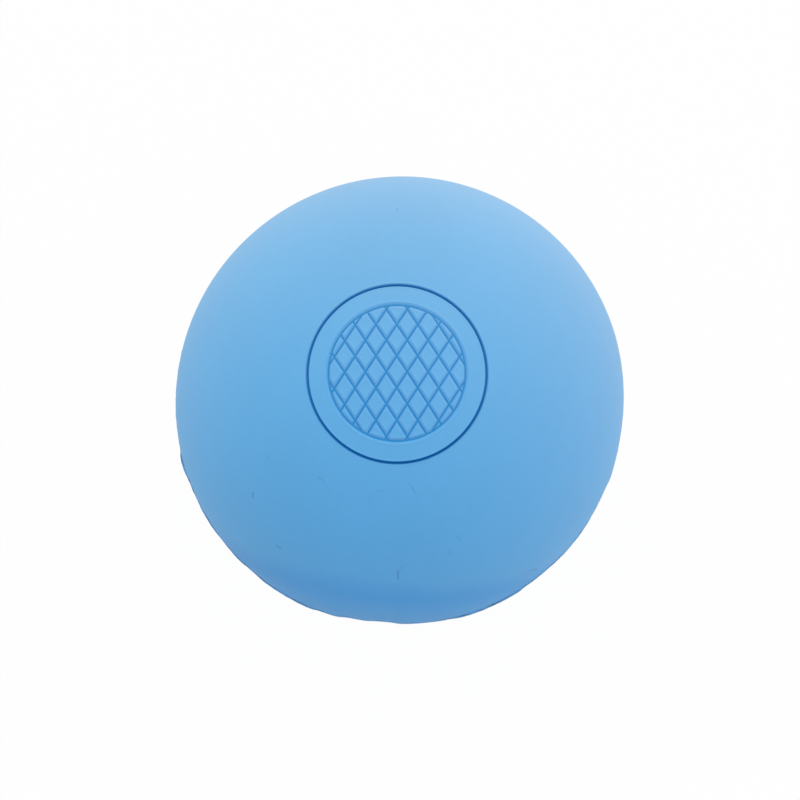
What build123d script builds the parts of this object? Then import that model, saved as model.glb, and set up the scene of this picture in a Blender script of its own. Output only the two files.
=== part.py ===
from build123d import *
import math
import os

# Driving sizes in millimetres and degrees
ball_diameter = 63.5  # across the ball, clear of the seam
cover_thickness = 6.0  # rubber wall between the core and the surface
seam_width = 1.6  # band of trimmed flash round the parting line, foot to foot
seam_land_width = 0.8  # flat top of that band
seam_height = 0.2  # how far the band stands out of the ball
seam_round = 0.1  # trimmed edges of the band
ring_diameter = 24.6  # round groove of the stamp, at the middle of its width
ring_width = 0.45
ring_depth = 0.4
ring_round = 0.1  # softened mouth of the groove
net_margin = 2.9  # plain band between the ring and the net's border
net_pitch = 2.4  # from one line of the net to the next
net_line_width = 0.4
net_line_depth = 0.25
net_lean = 57.0  # both sets of lines lean this far from the X axis

# Sizes that follow from those
ball_radius = ball_diameter / 2
core_radius = ball_radius - cover_thickness
seam_radius = ball_radius + seam_height
seam_foot_angle = math.degrees(math.asin(seam_width / 2 / ball_radius))
ring_radius = ring_diameter / 2
ring_height = math.sqrt(ball_radius**2 - ring_radius**2)
ring_slope = math.degrees(math.atan2(ring_height, ring_radius))
net_radius = ring_radius - net_margin
net_floor_radius = ball_radius - net_line_depth
net_line_count = 2 * int(net_radius / net_pitch + 0.5)  # even, so that a mesh sits on the pole

os.makedirs("parts", exist_ok=True)

# Solid rubber middle of the ball
with BuildPart() as core:
    Sphere(core_radius)
core.part.label = "core"

# Lower half of the cover: a bowl on the core, with half of the seam band at its rim
with BuildPart() as plain_cover:
    with BuildSketch(Plane.XZ):
        with BuildLine():
            outside = CenterArc((0, 0), ball_radius, -90, 90 - seam_foot_angle)
            Polyline(
                outside @ 1,
                (seam_radius, -seam_land_width / 2),
                (seam_radius, 0),
                (core_radius, 0),
            )
            inside = CenterArc((0, 0), core_radius, 0, -90)
            Line(inside @ 1, outside @ 0)
        make_face()
    revolve(axis=Axis.Z)
    band_edges = plain_cover.edges().filter_by(GeomType.CIRCLE).sort_by(SortBy.RADIUS)[-2:]
    fillet(band_edges.sort_by(Axis.Z)[0], radius=seam_round)
plain_cover.part.label = "plain_cover"

# Diamond net of the stamp, as deep as its lines are cut and following the ball
with BuildPart() as net_lines:
    with BuildSketch(Plane.XY):
        for lean in (net_lean, -net_lean):
            with Locations(Rotation(0, 0, lean)):
                with GridLocations(0, net_pitch, 1, net_line_count):
                    Rectangle(2 * net_radius, net_line_width)
        Circle(net_radius, mode=Mode.INTERSECT)
    with BuildSketch(Plane.XY):
        Circle(net_radius + net_line_width / 2)
        Circle(net_radius - net_line_width / 2, mode=Mode.SUBTRACT)
    extrude(amount=ball_diameter)
    Sphere(net_floor_radius, mode=Mode.SUBTRACT)

# Upper half of the cover: the same bowl turned over, with the stamp pressed into its top
with BuildPart() as stamped_cover:
    mirror(plain_cover.part, about=Plane.XY)
    with BuildSketch(Plane.XZ):
        with Locations((ring_radius, ring_height)):
            SlotOverall(2 * ring_depth, ring_width, rotation=ring_slope)
    revolve(axis=Axis.Z, mode=Mode.SUBTRACT)
    ring_edges = stamped_cover.edges(Select.LAST).filter_by(Plane.XY)
    ring_mouth = ring_edges.sort_by(lambda edge: (edge @ 0).length)[-2:]
    fillet(ring_mouth, radius=ring_round)
    add(net_lines.part, mode=Mode.SUBTRACT)
stamped_cover.part.label = "stamped_cover"

for piece in (core, plain_cover, stamped_cover):
    export_step(piece.part, f"parts/{piece.part.label}.step")
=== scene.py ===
from math import asin, atan2, cos, pi, radians, sin, sqrt, tau

import bmesh
import bpy
from mathutils import Euler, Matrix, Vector
from mathutils.geometry import delaunay_2d_cdt


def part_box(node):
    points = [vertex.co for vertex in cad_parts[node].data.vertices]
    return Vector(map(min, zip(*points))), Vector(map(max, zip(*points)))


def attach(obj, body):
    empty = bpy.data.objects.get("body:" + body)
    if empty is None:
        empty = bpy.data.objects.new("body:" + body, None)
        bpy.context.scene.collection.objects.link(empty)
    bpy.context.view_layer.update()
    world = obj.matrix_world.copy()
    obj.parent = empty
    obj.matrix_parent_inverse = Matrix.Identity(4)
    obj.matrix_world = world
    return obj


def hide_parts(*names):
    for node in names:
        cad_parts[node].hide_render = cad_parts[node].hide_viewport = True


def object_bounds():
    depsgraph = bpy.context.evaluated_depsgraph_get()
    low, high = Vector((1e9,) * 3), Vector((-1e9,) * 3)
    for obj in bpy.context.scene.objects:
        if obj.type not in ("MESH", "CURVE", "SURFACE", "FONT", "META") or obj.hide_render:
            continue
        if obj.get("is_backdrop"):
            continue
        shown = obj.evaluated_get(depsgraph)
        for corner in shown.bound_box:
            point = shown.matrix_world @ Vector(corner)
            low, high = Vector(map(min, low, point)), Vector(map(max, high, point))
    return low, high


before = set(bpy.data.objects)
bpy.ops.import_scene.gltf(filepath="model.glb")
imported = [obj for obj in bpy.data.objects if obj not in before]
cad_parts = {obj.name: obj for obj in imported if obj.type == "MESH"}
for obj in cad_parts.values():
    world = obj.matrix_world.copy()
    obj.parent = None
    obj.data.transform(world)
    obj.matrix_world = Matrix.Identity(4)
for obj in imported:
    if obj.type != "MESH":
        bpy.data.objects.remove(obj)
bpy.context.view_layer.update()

mm = 0.001
ballRadius = -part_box("plain_cover")[0].z
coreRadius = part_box("core")[1].z
print("frame: ball radius", round(ballRadius / mm, 3), "mm, core radius", round(coreRadius / mm, 3), "mm")


# node helpers, the same for geometry and shader trees

def setInput(tree, socket, value):  # links another socket, or sets a plain value
    if isinstance(value, bpy.types.NodeSocket):
        tree.links.new(value, socket)
    else:
        socket.default_value = value


def feed(tree, node, values):
    for socket, value in zip(node.inputs, values):
        setInput(tree, socket, value)
    return node


def calc(tree, operation, *values):
    node = tree.nodes.new("ShaderNodeMath")
    node.operation = operation
    return feed(tree, node, values).outputs[0]


def vectorCalc(tree, operation, *values):
    node = tree.nodes.new("ShaderNodeVectorMath")
    node.operation = operation
    feed(tree, node, values)
    return node.outputs["Value" if operation in ("LENGTH", "DOT_PRODUCT", "DISTANCE") else "Vector"]


def scaleVector(tree, vector, factor):
    node = tree.nodes.new("ShaderNodeVectorMath")
    node.operation = "SCALE"
    tree.links.new(vector, node.inputs[0])
    tree.links.new(factor, node.inputs["Scale"])
    return node.outputs[0]


def splitAxes(tree, vector):
    node = tree.nodes.new("ShaderNodeSeparateXYZ")
    return feed(tree, node, (vector,)).outputs


def joinColor(tree, red, green, blue):
    node = tree.nodes.new("ShaderNodeCombineColor")
    return feed(tree, node, (red, green, blue)).outputs[0]


def ease(tree, value, start, stop, first=0.0, last=1.0):  # soft step from first to last
    node = tree.nodes.new("ShaderNodeMapRange")
    node.interpolation_type = "SMOOTHSTEP"
    return feed(tree, node, (value, start, stop, first, last)).outputs[0]


def noise(tree, vector, scale, detail, seed):
    node = tree.nodes.new("ShaderNodeTexNoise")
    node.noise_dimensions = "4D"
    for name, value in (("Vector", vector), ("W", seed), ("Scale", scale), ("Detail", detail)):
        setInput(tree, node.inputs[name], value)
    return node.outputs[0]


def swing(tree, vector, scale, detail, seed):  # the same noise about 0
    return calc(tree, "SUBTRACT", noise(tree, vector, scale, detail, seed), 0.5)


def newGroup(name, kind, inputs, outputs):  # inputs and outputs are (name, socket type) pairs
    tree = bpy.data.node_groups.new(name, kind)
    for direction, sockets in (("INPUT", inputs), ("OUTPUT", outputs)):
        for label, socketType in sockets:
            tree.interface.new_socket(name=label, in_out=direction, socket_type="NodeSocket" + socketType)
    return tree, tree.nodes.new("NodeGroupInput").outputs, tree.nodes.new("NodeGroupOutput").inputs


# shader groups that the rubbers share

rubberScales = ("Cloud Scale", "Grain Scale", "Speck Scale")
rubberGrain = {
    "mottleFineness": 14.0,  # against the clouds
    "mottleShare": 0.45,
    "toneMiddle": 0.725,  # of clouds and mottle together, taken off so that the tone is about 0
    "speckPick": (1.05, 1.1),  # a cell has a speck if its random colour is longer than this
    "speckEdge": (0.02, 0.045),  # in cells
    "fineFineness": 3.7,  # against the coarse grain
    "fineShare": 0.5,
}
nickMiddle = 0.2  # share of a mark's width that is dark all over


def makeRubberGroup(grain):  # cloudy tone, specks and a fine moulded grain
    tree, source, result = newGroup(
        "mouldedRubber",
        "ShaderNodeTree",
        [("Vector", "Vector")] + [(name, "Float") for name in rubberScales],
        [("Tone", "Float"), ("Speck", "Float"), ("Grain", "Float")],
    )
    place = source["Vector"]
    cloud = noise(tree, place, source["Cloud Scale"], detail=3.0, seed=1.7)
    mottleScale = calc(tree, "MULTIPLY", source["Cloud Scale"], grain["mottleFineness"])
    mottle = noise(tree, place, mottleScale, detail=2.0, seed=4.1)
    tone = calc(tree, "ADD", cloud, calc(tree, "MULTIPLY", mottle, grain["mottleShare"]))
    tree.links.new(calc(tree, "SUBTRACT", tone, grain["toneMiddle"]), result["Tone"])
    cells = tree.nodes.new("ShaderNodeTexVoronoi")
    tree.links.new(place, cells.inputs["Vector"])
    tree.links.new(source["Speck Scale"], cells.inputs["Scale"])
    picked = ease(tree, vectorCalc(tree, "LENGTH", cells.outputs["Color"]), *grain["speckPick"])
    speck = ease(tree, cells.outputs["Distance"], *grain["speckEdge"], 1.0, 0.0)
    tree.links.new(calc(tree, "MULTIPLY", speck, picked), result["Speck"])
    coarseGrain = noise(tree, place, source["Grain Scale"], detail=3.0, seed=7.3)
    fineScale = calc(tree, "MULTIPLY", source["Grain Scale"], grain["fineFineness"])
    fineGrain = noise(tree, place, fineScale, detail=2.0, seed=2.9)
    tree.links.new(calc(tree, "MULTIPLY_ADD", fineGrain, grain["fineShare"], coarseGrain), result["Grain"])
    return tree


def makeNickGroup():  # mask of one short mark between two points of the surface
    tree, source, result = newGroup(
        "nickMark",
        "ShaderNodeTree",
        [("Vector", "Vector"), ("Start", "Vector"), ("End", "Vector"), ("Width", "Float")],
        [("Mask", "Float")],
    )
    along = vectorCalc(tree, "SUBTRACT", source["End"], source["Start"])
    toPoint = vectorCalc(tree, "SUBTRACT", source["Vector"], source["Start"])
    square = vectorCalc(tree, "DOT_PRODUCT", along, along)
    share = calc(tree, "DIVIDE", vectorCalc(tree, "DOT_PRODUCT", toPoint, along), square)
    held = calc(tree, "MINIMUM", calc(tree, "MAXIMUM", share, 0.0), 1.0)
    gap = vectorCalc(tree, "DISTANCE", toPoint, scaleVector(tree, along, held))
    middle = calc(tree, "MULTIPLY", source["Width"], nickMiddle)
    tree.links.new(ease(tree, gap, middle, source["Width"], 1.0, 0.0), result["Mask"])
    return tree


rubberGroup = makeRubberGroup(rubberGrain)
nickGroup = makeNickGroup()


def newMaterial(name):
    material = bpy.data.materials.new(name)
    material.use_nodes = True
    return material, material.node_tree, material.node_tree.nodes["Principled BSDF"]


def placeRubberGroup(tree, vector, settings):
    node = tree.nodes.new("ShaderNodeGroup")
    node.node_tree = rubberGroup
    tree.links.new(vector, node.inputs["Vector"])
    for name in rubberScales:
        node.inputs[name].default_value = settings[name]
    return node.outputs


def mixColor(tree, factor, first, second, blend="MIX"):
    node = tree.nodes.new("ShaderNodeMix")
    node.data_type = "RGBA"
    node.blend_type = blend
    for index, value in ((0, factor), (6, first), (7, second)):  # its factor and colour sockets
        setInput(tree, node.inputs[index], value)
    return node.outputs[2]


def addBump(tree, shader, height, distance):
    bump = tree.nodes.new("ShaderNodeBump")
    bump.inputs["Distance"].default_value = distance
    tree.links.new(height, bump.inputs["Height"])
    tree.links.new(bump.outputs[0], shader.inputs["Normal"])


def spot(azimuth, polar):  # point of the ball's surface, in degrees from +X and from +Z
    return Vector((
        sin(radians(polar)) * cos(radians(azimuth)),
        sin(radians(polar)) * sin(radians(azimuth)),
        cos(radians(polar)),
    )) * ballRadius


# sky blue cover rubber, and a shaded copy of it down in the stamp's lines

coverLook = {
    "deepColor": (0.049, 0.447, 0.915, 1.0),
    "paintedSheenColor": (0.113, 0.405, 0.765, 1.0),  # painted sheen, paler on the side the light comes from
    "litSideAxis": Vector((0.42, 0.91, 0.0)),  # towards the lit side
    # painted shade at the bottom of the stamp's lines
    "pressedColor": (0.0, 0.15, 0.45, 1.0),
    "trimmedColor": (0.15, 0.48, 0.87, 1.0),
    "trimmedStrength": 0.7,
    "markColor": (0.0, 0.28, 0.66, 1.0),
    "speckStrength": 0.25,
    "tableShadeColor": (0.0, 0.365, 0.88, 1.0),  # painted shade of the table that the ball stood on
    "patchAxis": Vector((-0.095, -0.902, -0.42)),
    "patchLevel": 20.9 * mm,  # of the patch's edge along that axis
    "patchRise": (-4.0 * mm, 0.5 * mm),  # from clear to full, measured from that level
    "patchFall": (1.0 * mm, 4.0 * mm),  # and from full to what is left inside
    "patchInside": 0.7,
    "patchFoot": (-9.0 * mm, -1.0 * mm),  # heights between which it fades out below the seam
    "patchWobble": 2.0 * mm,
    "patchScale": 70.0,
    "patchStrength": 0.85,
    "toneSpread": 0.14,
    "blotchSpread": 0.2,  # extra tone in the handled rubber beside the seam
    "blotchScale": 260.0,
    "stainSpread": 0.9,  # the same for red alone
    "stainScale": 190.0,
    "blotchReach": 11.0 * mm,
    "dirtColor": (0.03, 0.13, 0.27, 1.0),
    "dirtReach": 0.22 * mm,
    "dirtScale": 420.0,
    "dirtBreaks": (0.35, 0.62),  # noise below which the seam is clean, and above which it is dirty
    "dirtStrength": 0.7,
    "roughness": 0.84,
    "roughSpread": 0.2,
    "trimmedRoughness": 0.12,  # on top of that on the trimmed band
    "specular": 0.12,
    "sheen": 0.264,
    "sheenRoughness": 0.918,
    "grainHeight": 0.012 * mm,
    "markDepth": 6.0,  # against the grain
    "scratchHeight": 3.0,  # of the trimmed band, against the grain
    "scratchScale": 5200.0,
    "scratchStretch": (0.02, 0.02, 1.0),  # drawn out along the band
    "Cloud Scale": 55.0,
    "Grain Scale": 2600.0,
    "Speck Scale": 170.0,
    "marks": [  # from and to in degrees round from +X and down from +Z, then width in mm and strength
        ((269.9, 55.1), (269.8, 58.2), 0.2, 0.75),
        ((270.1, 54.5), (271.8, 53.2), 0.15, 0.3),
        ((275.8, 28.0), (277.5, 29.4), 0.2, 0.14),
        ((277.5, 29.4), (278.4, 30.9), 0.24, 0.32),
        ((217.3, 52.2), (218.2, 53.4), 0.2, 0.95),
        ((214.7, 55.7), (215.7, 57.0), 0.15, 0.3),
        ((232.8, 61.0), (234.0, 61.0), 0.26, 1.0),
        ((211.9, 42.0), (211.2, 40.4), 0.18, 0.35),
        ((232.2, 33.6), (234.9, 33.6), 0.3, 0.28),
        ((90.2, 49.1), (90.2, 49.5), 0.22, 0.6),
        ((62.2, 42.7), (60.8, 43.1), 0.16, 0.25),
        ((124.9, 39.9), (123.5, 39.9), 0.16, 0.45),
        ((286.8, 50.2), (286.7, 51.9), 0.2, 0.32),
        ((290.4, 46.3), (291.2, 48.4), 0.22, 0.24),
        ((290.2, 75.2), (291.5, 73.6), 0.3, 0.4),
        ((306.7, 77.6), (308.0, 80.6), 0.3, 0.75),
        ((298.2, 40.3), (299.3, 40.9), 0.2, 0.3),
        ((257.3, 33.6), (258.9, 31.1), 0.18, 0.17),
        ((258.9, 31.1), (264.5, 29.8), 0.18, 0.14),
        ((40.0, 112.0), (43.0, 114.5), 0.2, 0.5),
        ((143.0, 131.0), (139.5, 130.0), 0.22, 0.4),
        ((228.0, 120.0), (228.4, 123.0), 0.16, 0.55),
        ((318.0, 147.0), (322.0, 149.5), 0.2, 0.35),
    ],
}
lineLook = {**coverLook, "specular": 0.05, "sheen": 0.0, "marks": []}  # a shaded copy, without sheen and with less gloss, as painted shade in the lines


def addMarks(tree, place, marks):  # one mask for all the marks
    mask = 0.0
    for start, end, width, strength in marks:
        node = tree.nodes.new("ShaderNodeGroup")
        node.node_tree = nickGroup
        tree.links.new(place, node.inputs["Vector"])
        node.inputs["Start"].default_value = spot(*start)
        node.inputs["End"].default_value = spot(*end)
        node.inputs["Width"].default_value = width * mm
        mask = calc(tree, "MAXIMUM", calc(tree, "MULTIPLY", node.outputs["Mask"], strength), mask)
    return mask


def paintedTableShade(tree, place, height, look):  # painted shade of a table: strongest at its edge, and faded out below the seam
    wobble = swing(tree, place, look["patchScale"], detail=2.0, seed=5.5)
    along = vectorCalc(tree, "DOT_PRODUCT", place, look["patchAxis"])
    along = calc(tree, "MULTIPLY_ADD", wobble, look["patchWobble"], along)
    reach = calc(tree, "SUBTRACT", along, look["patchLevel"])
    rise = ease(tree, reach, *look["patchRise"])
    edge = calc(tree, "MULTIPLY", rise, ease(tree, reach, *look["patchFall"], 1.0, look["patchInside"]))
    above = ease(tree, height, *look["patchFoot"], 0.0, look["patchStrength"])
    return calc(tree, "MULTIPLY", edge, above)


def makeCoverRubber(name, look):
    material, tree, shader = newMaterial(name)
    place = tree.nodes.new("ShaderNodeTexCoord").outputs["Object"]
    height = splitAxes(tree, place)[2]
    rubber = placeRubberGroup(tree, place, look)
    masks = {}
    for mask in ("pressed", "seamBand"):
        node = tree.nodes.new("ShaderNodeAttribute")
        node.attribute_name = mask
        masks[mask] = node.outputs["Fac"]
    marks = addMarks(tree, place, look["marks"])

    # tone of the skin, more uneven beside the seam
    seamGap = calc(tree, "ABSOLUTE", height)
    nearSeam = ease(tree, seamGap, 0.0, look["blotchReach"], 1.0, 0.0)
    blotch = swing(tree, place, look["blotchScale"], detail=3.0, seed=6.4)
    tone = calc(tree, "MULTIPLY_ADD", rubber["Tone"], look["toneSpread"], 1.0)
    uneven = calc(tree, "MULTIPLY", nearSeam, look["blotchSpread"])
    tone = calc(tree, "MULTIPLY_ADD", blotch, uneven, tone)
    stain = swing(tree, place, look["stainScale"], detail=2.0, seed=9.1)
    stained = calc(tree, "MULTIPLY", nearSeam, look["stainSpread"])
    redTone = calc(tree, "MULTIPLY_ADD", stain, stained, tone)

    # painted sheen: paler towards the lit side, deeper blue away from it
    along = vectorCalc(tree, "DOT_PRODUCT", place, look["litSideAxis"])
    fade = calc(tree, "MULTIPLY_ADD", along, 0.5 / ballRadius, 0.5)  # 0 to 1 across the ball
    color = mixColor(tree, fade, look["deepColor"], look["paintedSheenColor"])
    # painted shade of a table, deeper blue towards -Y and below
    color = mixColor(tree, paintedTableShade(tree, place, height, look), color, look["tableShadeColor"])
    color = mixColor(tree, 1.0, color, joinColor(tree, redTone, tone, tone), "MULTIPLY")
    speck = calc(tree, "MULTIPLY", rubber["Speck"], look["speckStrength"])
    color = mixColor(tree, speck, color, look["markColor"])
    trimmed = calc(tree, "MULTIPLY", masks["seamBand"], look["trimmedStrength"])
    color = mixColor(tree, trimmed, color, look["trimmedColor"])
    broken = ease(tree, noise(tree, place, look["dirtScale"], detail=2.0, seed=3.3), *look["dirtBreaks"])
    dirt = calc(tree, "MULTIPLY", ease(tree, seamGap, 0.0, look["dirtReach"], 1.0, 0.0), broken)
    color = mixColor(tree, calc(tree, "MULTIPLY", dirt, look["dirtStrength"]), color, look["dirtColor"])
    color = mixColor(tree, marks, color, look["markColor"])
    # painted shade in the stamp's lines
    color = mixColor(tree, masks["pressed"], color, look["pressedColor"])
    tree.links.new(color, shader.inputs["Base Color"])
    rough = calc(tree, "MULTIPLY_ADD", rubber["Tone"], look["roughSpread"], look["roughness"])
    rough = calc(tree, "MULTIPLY_ADD", masks["seamBand"], look["trimmedRoughness"], rough)
    tree.links.new(rough, shader.inputs["Roughness"])

    # grain, dents of the marks, and cutting lines along the trimmed band
    stretch = vectorCalc(tree, "MULTIPLY", place, look["scratchStretch"])
    scratch = noise(tree, stretch, look["scratchScale"], detail=2.0, seed=8.2)
    scratched = calc(tree, "MULTIPLY", masks["seamBand"], look["scratchHeight"])
    scratch = calc(tree, "MULTIPLY", scratch, scratched)
    dented = calc(tree, "SUBTRACT", rubber["Grain"], calc(tree, "MULTIPLY", marks, look["markDepth"]))
    addBump(tree, shader, calc(tree, "ADD", dented, scratch), look["grainHeight"])
    shader.inputs["Specular IOR Level"].default_value = look["specular"]
    shader.inputs["Sheen Weight"].default_value = look["sheen"]
    shader.inputs["Sheen Roughness"].default_value = look["sheenRoughness"]
    return material


# grey core rubber with crumbs of the trimmings in it

coreLook = {
    "color": (0.2, 0.19, 0.18, 1.0),
    "crumbColor": (0.11, 0.3, 0.5, 1.0),
    "toneSpread": 0.5,
    "roughness": 0.75,
    "roughSpread": 0.2,
    "grainHeight": 0.04 * mm,
    "Cloud Scale": 110.0,
    "Grain Scale": 1500.0,
    "Speck Scale": 420.0,
}


def makeCoreRubber(look):
    material, tree, shader = newMaterial("coreRubber")
    place = tree.nodes.new("ShaderNodeTexCoord").outputs["Object"]
    rubber = placeRubberGroup(tree, place, look)
    tone = calc(tree, "MULTIPLY_ADD", rubber["Tone"], look["toneSpread"], 1.0)
    color = mixColor(tree, 1.0, look["color"], joinColor(tree, tone, tone, tone), "MULTIPLY")
    tree.links.new(mixColor(tree, rubber["Speck"], color, look["crumbColor"]), shader.inputs["Base Color"])
    rough = calc(tree, "MULTIPLY_ADD", rubber["Tone"], look["roughSpread"], look["roughness"])
    tree.links.new(rough, shader.inputs["Roughness"])
    addBump(tree, shader, rubber["Grain"], look["grainHeight"])
    return material


coverRubber = makeCoverRubber("coverRubber", coverLook)
shadedLineRubber = makeCoverRubber("shadedLineRubber", lineLook)
coreRubber = makeCoreRubber(coreLook)
print("materials: cover and core rubber")


# the relief of a cover, as a geometry tree

stamp = {
    "Ring Radius": 12.3 * mm,
    "Ring Width": 0.37 * mm,
    "Ring Depth": 0.4 * mm,
    "Ring Edge": 0.07 * mm,  # how far the ring's edges are rounded
    "Ring Tone": 0.95,  # how dark the painted shade on the ring's floor is
    "Ring Wane": 0.28,  # how much lighter its painted shade is at its +X and -X sides, where the groove runs along the light
    "Wane Power": 4.0,  # the higher, the shorter those sides are
    "Net Radius": 9.4 * mm,
    "Net Pitch": 2.4 * mm,
    "Net Lean": radians(57.0),
    "Net Width": 0.44 * mm,
    "Net Depth": 0.25 * mm,
    "Net Edge": 0.2 * mm,  # softer, so that the lines have sloping sides
    "Net Core": 0.24 * mm,  # the painted shade at the bottom of a line fades out this far from its middle
    # how dark the painted shade in the net's lines is
    "Net Tone": 0.55,
    "Lip": 0.05 * mm,  # rubber that the stamp pushed up beside its lines
    "Lip Width": 0.3 * mm,
}
netLines = 8
lineShare = 0.5  # the shaded line material starts where a line is this far down

seam = {
    "Seam Width": 1.5 * mm,
    "Foot Least": 0.15,  # narrowest foot of the flash, against that width
    "Foot Spread": 0.7,  # how much wider it gets in places
    "Foot Scale": 5.0,
    "Crest Share": 0.6,  # of the foot that has the full height
    "Ragged": 0.18 * mm,  # how much the cut edge's height swings
    "Ragged Scale": 26.0,
    "Valley": 0.05 * mm,  # small groove where the covers meet
    "Valley Width": 0.12 * mm,
    "Cut Reach": 12.0 * mm,  # how far from the seam the trimming cut into the rubber
    "Cut Share": 0.3,  # of that reach that is cut to the full depth
    "Oval": 0.15 * mm,  # how far the ball is out of round
    "Flat Top": 0.05 * mm,  # how much lower it is in the middle of the stamp, under the lips there
}
flashProfile = [  # degrees round from +X, and height of the flash in mm, below 0 where the trimming cut in
    (0, -0.1), (10, -0.05), (20, 0.04), (33, 0.18), (52, 0.11), (70, 0.06), (88, 0.15),
    (104, 0.19), (112, 0.08), (130, 0.12), (148, 0.17), (163, 0.1), (178, 0.05), (188, 0.03),
    (193.4, 0.05), (194.8, 0.31), (199, 0.2), (204, 0.07), (213, 0.13), (219, 0.08), (225, 0.15),
    (228, 0.06), (234, 0.16), (246, 0.2), (249, 0.07), (254, 0.0), (258, -0.28), (261, -0.28),
    (264.5, -0.42), (268, -0.34), (270, -0.17), (277, -0.08), (281, 0.02), (285, 0.22), (288, 0.32),
    (300, 0.32), (304, 0.2), (309, 0.17), (315, 0.2), (327, 0.12), (337, 0.0), (339.5, 0.12),
    (343, 0.0), (348, -0.08), (354, -0.12), (360, -0.1),
]
flashRange = (-0.5, 0.4)  # lowest and highest that the curve can hold, in mm


def addFlashCurve(tree, share):  # flash height in metres by the share of the way round
    low, high = flashRange
    curve = tree.nodes.new("ShaderNodeFloatCurve")
    points = curve.mapping.curves[0].points
    for index, (degrees, height) in enumerate(flashProfile):
        place = (degrees / 360.0, (height - low) / (high - low))
        if index in (0, len(flashProfile) - 1):  # a new curve has its two ends already
            points[0 if index == 0 else -1].location = place
        else:
            points.new(*place)
    for point in points:
        point.handle_type = "AUTO_CLAMPED"
    curve.mapping.update()
    tree.links.new(share, curve.inputs["Value"])
    return calc(tree, "MULTIPLY_ADD", curve.outputs[0], (high - low) * mm, low * mm)


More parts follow.
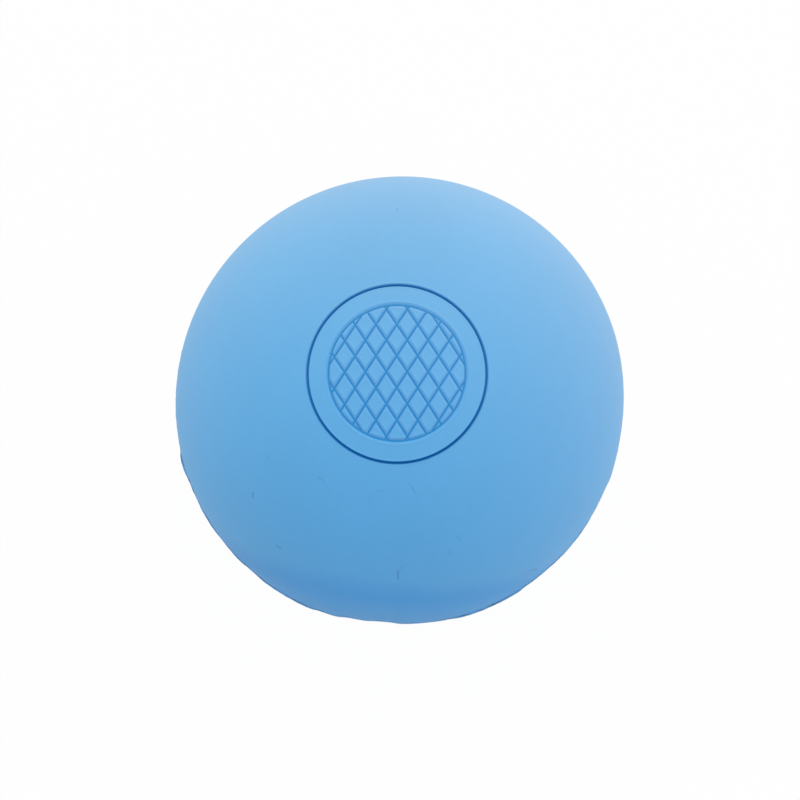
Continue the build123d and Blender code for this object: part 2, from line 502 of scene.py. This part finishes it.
def makeReliefTree():
    floats = ["Ball Radius", "Core Radius", *stamp, *seam, "Flash", "Seed"]
    tree, source, result = newGroup(
        "coverRelief",
        "GeometryNodeTree",
        [("Geometry", "Geometry"), ("Material", "Material"), ("Line Material", "Material"),
         ("Mould Shift", "Vector")]
        + [(name, "Float") for name in floats],
        [("Geometry", "Geometry")],
    )
    place = tree.nodes.new("GeometryNodeInputPosition").outputs[0]
    x, y, z = splitAxes(tree, place)
    outward = vectorCalc(tree, "NORMALIZE", place)
    middle = calc(tree, "MULTIPLY", calc(tree, "ADD", source["Ball Radius"], source["Core Radius"]), 0.5)
    skin = calc(tree, "GREATER_THAN", vectorCalc(tree, "LENGTH", place), middle)  # 1 on the outside only
    stamped = calc(tree, "MULTIPLY", skin, calc(tree, "GREATER_THAN", z, 0.0))
    squares = calc(tree, "ADD", calc(tree, "MULTIPLY", x, x), calc(tree, "MULTIPLY", y, y))
    across = calc(tree, "SQRT", squares)

    def press(gap, width, depth, edge):  # floor mask of a line and the height of its relief
        half = calc(tree, "MULTIPLY", width, 0.5)
        mouth = calc(tree, "ADD", half, edge)
        floor = ease(tree, gap, calc(tree, "SUBTRACT", half, edge), mouth, 1.0, 0.0)
        ridge = ease(tree, gap, half, mouth)
        fade = ease(tree, gap, mouth, calc(tree, "ADD", mouth, source["Lip Width"]), 1.0, 0.0)
        lip = calc(tree, "MULTIPLY", calc(tree, "MULTIPLY", ridge, fade), source["Lip"])
        return floor, calc(tree, "SUBTRACT", lip, calc(tree, "MULTIPLY", floor, depth))

    # ring groove, by its distance along the ball
    ringAngle = calc(tree, "ARCSINE", calc(tree, "DIVIDE", source["Ring Radius"], source["Ball Radius"]))
    angleGap = calc(tree, "SUBTRACT", calc(tree, "ARCTAN2", across, z), ringAngle)
    ringGap = calc(tree, "MULTIPLY", calc(tree, "ABSOLUTE", angleGap), source["Ball Radius"])
    ring, ringRise = press(ringGap, source["Ring Width"], source["Ring Depth"], source["Ring Edge"])

    # two sets of slanting lines inside a round border, by the distance to the nearest
    netGap = calc(tree, "ABSOLUTE", calc(tree, "SUBTRACT", across, source["Net Radius"]))
    beyond = calc(tree, "GREATER_THAN", across, source["Net Radius"])
    for side in (1.0, -1.0):
        lean = calc(tree, "MULTIPLY", source["Net Lean"], side)
        rise = calc(tree, "MULTIPLY", y, calc(tree, "COSINE", lean))
        run = calc(tree, "MULTIPLY", x, calc(tree, "SINE", lean))
        lineCount = calc(tree, "DIVIDE", calc(tree, "SUBTRACT", rise, run), source["Net Pitch"])
        fromLine = calc(tree, "SUBTRACT", calc(tree, "FRACT", lineCount), 0.5)
        share = calc(tree, "ADD", calc(tree, "ABSOLUTE", fromLine), beyond)
        netGap = calc(tree, "MINIMUM", calc(tree, "MULTIPLY", share, source["Net Pitch"]), netGap)
    _, netRise = press(netGap, source["Net Width"], source["Net Depth"], source["Net Edge"])
    netCore = ease(tree, netGap, 0.0, source["Net Core"], 1.0, 0.0)
    stampRise = calc(tree, "MULTIPLY", calc(tree, "ADD", ringRise, netRise), stamped)

    # uneven flash, trimmed by hand, round the parting line
    level = tree.nodes.new("ShaderNodeCombineXYZ")
    heading = vectorCalc(tree, "NORMALIZE", feed(tree, level, (x, y)).outputs[0])
    wander = noise(tree, heading, source["Foot Scale"], detail=2.0, seed=source["Seed"])
    rag = swing(tree, heading, source["Ragged Scale"], detail=3.0, seed=source["Seed"])
    turn = calc(tree, "FRACT", calc(tree, "DIVIDE", calc(tree, "ARCTAN2", y, x), tau))
    wander = calc(tree, "MULTIPLY_ADD", wander, source["Foot Spread"], source["Foot Least"])
    foot = calc(tree, "MULTIPLY", source["Seam Width"], wander)
    gap = calc(tree, "ABSOLUTE", z)
    band = ease(tree, gap, calc(tree, "MULTIPLY", foot, source["Crest Share"]), foot, 1.0, 0.0)
    trim = addFlashCurve(tree, turn)
    crest = calc(tree, "MULTIPLY", calc(tree, "MAXIMUM", trim, 0.0), source["Flash"])
    crest = calc(tree, "ADD", crest, calc(tree, "MULTIPLY", rag, source["Ragged"]))
    cutFlat = calc(tree, "MULTIPLY", source["Cut Reach"], source["Cut Share"])
    cutFade = ease(tree, gap, cutFlat, source["Cut Reach"], 1.0, 0.0)
    cut = calc(tree, "MULTIPLY", calc(tree, "MINIMUM", trim, 0.0), cutFade)
    valley = ease(tree, gap, 0.0, source["Valley Width"], 1.0, 0.0)
    valley = calc(tree, "MULTIPLY", valley, source["Valley"])
    seamRise = calc(tree, "SUBTRACT", calc(tree, "MULTIPLY_ADD", band, crest, cut), valley)

    # out of round, with the long way across the +X +Y corner
    square = calc(tree, "MULTIPLY", source["Ball Radius"], source["Ball Radius"])
    ovalShare = calc(tree, "DIVIDE", calc(tree, "MULTIPLY", calc(tree, "MULTIPLY", x, y), 2.0), square)
    oval = calc(tree, "MULTIPLY", ovalShare, source["Oval"])
    top = calc(tree, "MAXIMUM", z, 0.0)
    topShare = calc(tree, "DIVIDE", calc(tree, "MULTIPLY", top, top), square)
    oval = calc(tree, "SUBTRACT", oval, calc(tree, "MULTIPLY", topShare, source["Flat Top"]))

    move = calc(tree, "ADD", calc(tree, "ADD", stampRise, seamRise), oval)
    shift = scaleVector(tree, source["Mould Shift"], skin)
    offset = vectorCalc(tree, "MULTIPLY_ADD", outward, calc(tree, "MULTIPLY", move, skin), shift)

    # masks for the materials, the painted shade in the stamp's lines among them, then the moved and painted
    # mesh
    # painted shade in the stamp's lines, lighter at the ring's +X and -X sides
    sideways = calc(tree, "POWER", calc(tree, "DIVIDE", x, across), source["Wane Power"])
    wane = calc(tree, "MULTIPLY", sideways, source["Ring Wane"])
    ringTone = calc(tree, "MULTIPLY", ring, calc(tree, "SUBTRACT", source["Ring Tone"], wane))
    pressed = calc(tree, "MAXIMUM", calc(tree, "MULTIPLY", netCore, source["Net Tone"]), ringTone)
    pressed = calc(tree, "MULTIPLY", pressed, stamped)
    shaped = source["Geometry"]
    for name, mask in (("pressed", pressed), ("seamBand", band)):
        store = tree.nodes.new("GeometryNodeStoreNamedAttribute")
        store.inputs["Name"].default_value = name
        tree.links.new(shaped, store.inputs["Geometry"])
        tree.links.new(calc(tree, "MULTIPLY", mask, skin), store.inputs["Value"])
        shaped = store.outputs[0]
    setPosition = tree.nodes.new("GeometryNodeSetPosition")
    tree.links.new(shaped, setPosition.inputs["Geometry"])
    tree.links.new(offset, setPosition.inputs["Offset"])
    smooth = tree.nodes.new("GeometryNodeSetShadeSmooth")
    tree.links.new(setPosition.outputs[0], smooth.inputs["Geometry"])
    realize = tree.nodes.new("GeometryNodeRealizeInstances")
    tree.links.new(smooth.outputs[0], realize.inputs[0])
    painted = realize.outputs[0]
    # the shaded copy of the rubber goes on the floors of the lines
    lines = calc(tree, "GREATER_THAN", calc(tree, "MAXIMUM", ring, netCore), lineShare)
    for material, chosen in (("Material", True), ("Line Material", calc(tree, "MULTIPLY", lines, stamped))):
        paint = tree.nodes.new("GeometryNodeSetMaterial")
        feed(tree, paint, (painted, chosen, source[material]))
        painted = paint.outputs[0]
    tree.links.new(painted, result["Geometry"])
    return tree


reliefTree = makeReliefTree()


# flat patterns of a cover, in millimetres, wrapped onto the ball afterwards

pattern = {
    "edgeSteps": (0.06, 0.12, 0.17, 0.22, 0.27, 0.32, 0.37, 0.43, 0.5, 0.6, 0.74),  # rows beside each line
    "padSteps": (0.0, 0.95, 1.2),  # rows on a line's floor and across the mesh beside it
    "lineInset": 0.05,  # a line's rows end this far inside the border
    "netMargin": 0.25,  # from the flat middle to the first row outside it
    "ringSteps": (0.06, 0.1, 0.14, 0.18, 0.22, 0.26, 0.3, 0.36, 0.44, 0.54, 0.7),
    "ringClear": 1.0,  # the other rows stay this far from the ring
    "borderCount": 420,
    "ringCount": 480,
    "rimCount": 960,
    "rimSteps": (  # rows above the parting line
        0.0, 0.04, 0.08, 0.13, 0.2, 0.28, 0.36, 0.44, 0.52, 0.6, 0.7, 0.82, 0.96, 1.15, 1.4, 1.8, 2.3,
        3.0, 3.8),
    "rimThinning": 0.6,  # share of the rim's points that its rows have lost
    "rimThinReach": 3.0,  # this far above the parting line
    "rimGap": 0.0001,  # a point closer than this to the parting line is on it
    "domeStep": 0.75,
    "fineArc": 15.0,  # the rows are as fine as the ring's inside this
    "leastCount": 24,
    "innerStep": 3.0,
    "innerLeast": 12,
    "mergeGap": 0.002,  # points of the flat pattern closer than this are made one
    "weldGap": 0.0001,
}
sharpAngle = radians(70.0)  # edges sharper than this stay sharp in the shading
flatRadius = 10.0  # inside this the pattern is seen straight from above
flatArc = ballRadius / mm * asin(flatRadius * mm / ballRadius)
quarterArc = ballRadius / mm * pi / 2


def bothSides(steps):
    return [sign * step for step in steps for sign in (1, -1)]


def addRing(points, edges, radius, count, shift=0.0, closed=False):
    first = len(points)
    for index in range(count):
        angle = tau * (index + shift) / count
        points.append(Vector((radius * cos(angle), radius * sin(angle))))
    if closed:
        edges.extend((first + index, first + (index + 1) % count) for index in range(count))


def addNet(points, edges):
    border = stamp["Net Radius"] / mm
    end = border - pattern["lineInset"]
    pitch = stamp["Net Pitch"] / mm
    steps = bothSides(pattern["edgeSteps"]) + list(pattern["padSteps"])
    for side in (1, -1):
        across = Vector((-sin(side * stamp["Net Lean"]), cos(side * stamp["Net Lean"])))
        along = Vector((across.y, -across.x))
        for line in range(netLines):
            for step in steps:
                gap = (line - (netLines - 1) / 2) * pitch + step
                if abs(gap) < end - pattern["lineInset"]:
                    half = sqrt(end * end - gap * gap)
                    edges.append((len(points), len(points) + 1))
                    points += [across * gap + along * half, across * gap - along * half]
    for step in bothSides(pattern["edgeSteps"]):
        addRing(points, edges, border + step, pattern["borderCount"], closed=True)


def arcToFlat(arc):
    return arc - flatArc + flatRadius


def addDome(points, edges, startArc, stamped):  # rows of points from startArc down to the rim
    arcs = []
    arc = startArc
    while arc < quarterArc - pattern["rimSteps"][-1] - pattern["domeStep"] / 2:
        girth = tau * ballRadius / mm * sin(arc * mm / ballRadius)
        least = pattern["ringCount"] if stamped and arc < pattern["fineArc"] else pattern["leastCount"]
        arcs.append((arc, max(least, int(girth / pattern["domeStep"]))))
        arc += pattern["domeStep"]
    if stamped:
        ringArc = ballRadius / mm * asin(stamp["Ring Radius"] / ballRadius)
        arcs = [row for row in arcs if abs(row[0] - ringArc) > pattern["ringClear"]]
        steps = bothSides(pattern["ringSteps"]) + [0.0]
        arcs += [(ringArc + step, pattern["ringCount"]) for step in steps]
    for step in pattern["rimSteps"]:
        thinned = pattern["rimThinning"] * min(1.0, step / pattern["rimThinReach"])
        arcs.append((quarterArc - step, int(pattern["rimCount"] * (1 - thinned))))
    for index, (arc, count) in enumerate(sorted(arcs)):
        last = abs(arc - quarterArc) < pattern["rimGap"]
        addRing(points, edges, arcToFlat(arc), count, 0.0 if last else 0.5 * (index % 2), last)


def wrap(point, radius):  # flat pattern to the ball, the middle seen from above and the rest by its arc
    away = point.length
    if away <= flatRadius:
        flat = point * mm
        return Vector((flat.x, flat.y, sqrt(radius * radius - flat.length_squared)))
    angle = (away - flatRadius + flatArc) * mm / ballRadius
    heading = point.normalized()
    return Vector((heading.x * sin(angle), heading.y * sin(angle), cos(angle))) * radius


def flatOutside(stamped):
    points, edges = [], []
    if stamped:
        addNet(points, edges)
        addRing(points, edges, flatRadius, pattern["borderCount"])
        addDome(points, edges, flatArc + pattern["netMargin"], True)
    else:
        points.append(Vector((0.0, 0.0)))
        addDome(points, edges, pattern["domeStep"], False)
    return points, edges


def flatInside():
    points, edges = [Vector((0.0, 0.0))], []
    arc = pattern["innerStep"]
    while arc < quarterArc - pattern["innerStep"] / 2:
        count = max(pattern["innerLeast"], int(tau * arc / pattern["innerStep"]))
        addRing(points, edges, arcToFlat(arc), count)
        arc += pattern["innerStep"]
    addRing(points, edges, arcToFlat(quarterArc), pattern["rimCount"], closed=True)
    return points, edges


def makeShell(name, stamped):  # a plain closed half shell, before its relief
    side = 1.0 if stamped else -1.0
    shell = bmesh.new()
    rims = []
    for (points, edges), radius in ((flatOutside(stamped), ballRadius), (flatInside(), coreRadius)):
        flatVerts, _, flatFaces, *_ = delaunay_2d_cdt(points, edges, [], 0, pattern["mergeGap"])
        verts, rim = [], []
        for flat in flatVerts:
            placed = wrap(flat, radius)
            onRim = abs(flat.length - arcToFlat(quarterArc)) < pattern["rimGap"]
            verts.append(shell.verts.new((placed.x, placed.y, 0.0 if onRim else placed.z * side)))
            if onRim:
                rim.append((atan2(flat.y, flat.x) % tau, verts[-1]))
        for corners in flatFaces:
            shell.faces.new([verts[corner] for corner in corners])
        rims.append([vert for _, vert in sorted(rim, key=lambda item: item[0])])
    outer, inner = rims
    for index in range(pattern["rimCount"]):  # flat face where this half meets the other
        shell.faces.new((outer[index - 1], outer[index], inner[index], inner[index - 1]))
    bmesh.ops.remove_doubles(shell, verts=shell.verts, dist=pattern["weldGap"] * mm)
    bmesh.ops.recalc_face_normals(shell, faces=shell.faces)
    mesh = bpy.data.meshes.new(name)
    shell.to_mesh(mesh)
    shell.free()
    cover = bpy.data.objects.new(name, mesh)
    bpy.context.scene.collection.objects.link(cover)
    return cover


def makeCover(name, stamped, values):
    cover = makeShell(name, stamped)
    modifier = cover.modifiers.new("relief", "NODES")
    modifier.node_group = reliefTree
    sizes = {"Ball Radius": ballRadius, "Core Radius": coreRadius, **stamp, **seam, **values}
    for socket in reliefTree.interface.items_tree:
        if socket.in_out == "INPUT" and socket.name in sizes:
            modifier[socket.identifier] = sizes[socket.name]
    depsgraph = bpy.context.evaluated_depsgraph_get()
    shaped = bpy.data.meshes.new_from_object(
        cover.evaluated_get(depsgraph), preserve_all_data_layers=True, depsgraph=depsgraph)
    cover.modifiers.clear()
    cover.data = shaped
    shaped.set_sharp_from_angle(angle=sharpAngle)
    print(name, len(shaped.vertices), "points", len(shaped.polygons), "faces")
    return cover


stampedShell = makeCover("stamped_cover_shell", True, {
    "Material": coverRubber,
    "Line Material": shadedLineRubber,
    "Mould Shift": Vector((0.0, 0.0, 0.0)),
    "Flash": 0.3,  # share of the flash that this half carries
    "Seed": 5.0,
})
plainShell = makeCover("plain_cover_shell", False, {
    "Material": coverRubber,
    "Line Material": shadedLineRubber,
    "Mould Shift": Vector((-0.06, -0.05, 0.0)) * mm,
    "Flash": 1.0,
    "Seed": 9.0,
})
for shell, node in ((stampedShell, "stamped_cover"), (plainShell, "plain_cover")):
    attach(shell, "root")
    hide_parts(node)

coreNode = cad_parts["core"]
coreNode.data.materials.clear()
coreNode.data.materials.append(coreRubber)
print("covers and core in place")


# floor, light and camera

stageLook = {
    "floorReach": 3.0,  # from the middle to each side
    "floorColor": (0.9, 0.9, 0.9, 1.0),
    "nearWhite": 0.4,  # share of plain white that the floor shows to the camera under the ball
    "farWhite": 0.97,  # the same out in the open
    "whiteFade": (0.4 * ballRadius, 0.85 * ballRadius),  # distances over which one turns into the other
    "skyBase": 0.9,
    "skySlope": Vector((0.11, 0.4, 0.066)),  # how much brighter the light is along each axis
    "skyDip": 0.11,  # how much darker it is on the near side than the slope alone makes it
    "skyWarm": 0.15,  # extra red on the bright side, missing on the other
    "skyCool": -0.12,  # the same for blue
}


def plainlySeen(tree):  # 1 for a ray that shows the background: straight, in gloss or through glass
    path = tree.nodes.new("ShaderNodeLightPath")
    seen = calc(tree, "MAXIMUM", path.outputs["Is Camera Ray"], path.outputs["Is Glossy Ray"])
    return calc(tree, "MAXIMUM", seen, path.outputs["Is Transmission Ray"])


def mixShader(tree, factor, first, second):
    node = tree.nodes.new("ShaderNodeMixShader")
    return feed(tree, node, (factor, first.outputs[0], second.outputs[0]))


def makeFloor(look):
    material = bpy.data.materials.new("paleFloor")
    material.use_nodes = True
    tree = material.node_tree
    tree.nodes.clear()
    diffuse = tree.nodes.new("ShaderNodeBsdfDiffuse")
    diffuse.inputs["Color"].default_value = look["floorColor"]
    white = tree.nodes.new("ShaderNodeEmission")
    clear = tree.nodes.new("ShaderNodeBsdfTransparent")
    place = tree.nodes.new("ShaderNodeTexCoord").outputs["Object"]
    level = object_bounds()[0].z
    away = vectorCalc(tree, "DISTANCE", place, (0.0, 0.0, level))
    share = ease(tree, away, *look["whiteFade"], look["nearWhite"], look["farWhite"])
    mix = mixShader(tree, calc(tree, "MULTIPLY", plainlySeen(tree), share), diffuse, white)
    fromBelow = tree.nodes.new("ShaderNodeNewGeometry").outputs["Backfacing"]
    output = tree.nodes.new("ShaderNodeOutputMaterial")
    tree.links.new(mixShader(tree, fromBelow, mix, clear).outputs[0], output.inputs["Surface"])
    reach = look["floorReach"]
    mesh = bpy.data.meshes.new("floor")
    corners = [(x * reach, y * reach, level) for x, y in ((-1, -1), (1, -1), (1, 1), (-1, 1))]
    mesh.from_pydata(corners, [], [(0, 1, 2, 3)])
    mesh.materials.append(material)
    floor = bpy.data.objects.new("floor", mesh)
    floor.visible_diffuse = False  # the sky alone lights the ball, from below too
    bpy.context.scene.collection.objects.link(floor)
    floor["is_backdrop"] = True


def makeSky(look):
    world = bpy.data.worlds.new("studio")
    world.use_nodes = True
    bpy.context.scene.world = world
    tree = world.node_tree
    background = tree.nodes["Background"]
    direction = tree.nodes.new("ShaderNodeTexCoord").outputs["Generated"]
    farther = splitAxes(tree, direction)[1]
    near = calc(tree, "MINIMUM", farther, 0.0)  # below 0 towards -Y only
    dip = calc(tree, "MULTIPLY", calc(tree, "MULTIPLY", near, near), look["skyDip"])
    slope = vectorCalc(tree, "DOT_PRODUCT", direction, look["skySlope"])
    light = calc(tree, "SUBTRACT", calc(tree, "ADD", slope, look["skyBase"]), dip)
    light = calc(tree, "MAXIMUM", light, 0.0)
    seen = plainlySeen(tree)
    unseen = calc(tree, "SUBTRACT", 1.0, seen)
    tree.links.new(calc(tree, "MULTIPLY_ADD", light, unseen, seen), background.inputs["Strength"])
    across = calc(tree, "MULTIPLY", farther, unseen)
    warm = calc(tree, "MULTIPLY_ADD", across, look["skyWarm"], 1.0)
    cool = calc(tree, "MULTIPLY_ADD", across, look["skyCool"], 1.0)
    tree.links.new(joinColor(tree, warm, 1.0, cool), background.inputs["Color"])


cameraLook = {
    "distance": 26.0 * ballRadius,
    "lens": 262.2,
    "tilt": 7.19,  # degrees the camera leans towards the near side of the stamp
    "side": 0.85,  # and towards +X
    "slide": Vector((-0.027, 0.09, 0.0)) * mm,  # across and up, to frame the ball as the photograph does
}


def makeCamera(look):
    data = bpy.data.cameras.new("photoView")
    data.lens = look["lens"]
    camera = bpy.data.objects.new("photoView", data)
    camera.rotation_euler = Euler((radians(look["tilt"]), radians(look["side"]), 0.0))
    place = Vector((0.0, 0.0, look["distance"])) + look["slide"]
    camera.location = camera.rotation_euler.to_matrix() @ place
    bpy.context.scene.collection.objects.link(camera)
    bpy.context.scene.camera = camera


makeFloor(stageLook)
makeSky(stageLook)
makeCamera(cameraLook)
bpy.context.scene.view_settings.view_transform = "Standard"
print("floor, light and camera set")
